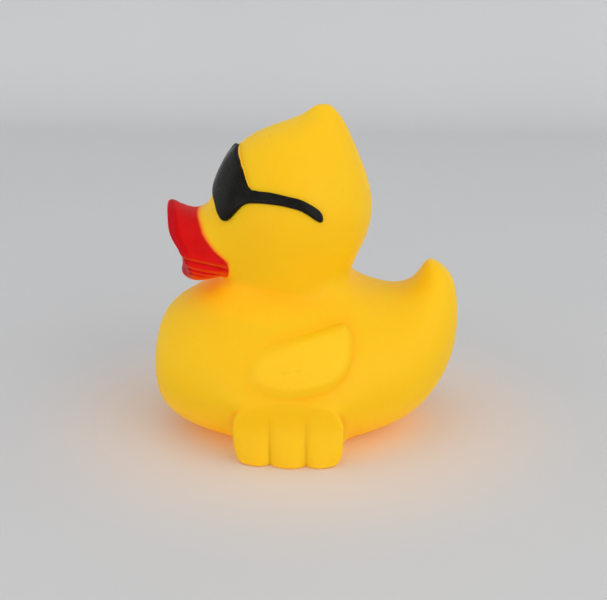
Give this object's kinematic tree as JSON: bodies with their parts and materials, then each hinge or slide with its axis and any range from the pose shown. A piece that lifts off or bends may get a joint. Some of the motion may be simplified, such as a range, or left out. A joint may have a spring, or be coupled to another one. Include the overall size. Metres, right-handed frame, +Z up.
{
  "type": "rubber duck",
  "caption": "Rubber duck for the bath, one hollow soft vinyl casting with a pointed crest, upturned tail, low wings, splayed toes, parted bill and moulded sunglasses",
  "frame": {"origin": "middle of the bounding box in X and Y, at the height of the flat sole", "axes": "+X runs from the bill to the tail, +Y to the duck's right side, +Z up from the sole to the crest"},
  "size_m": [0.0752, 0.0676, 0.0793],
  "materials": {
    "yellow_vinyl": "soft satin vinyl, yellow right through, with the bill sprayed red and the sunglasses sprayed black"
  },
  "bodies": {
    "root": {"duck": "yellow_vinyl"}
  },
  "joints": []
}
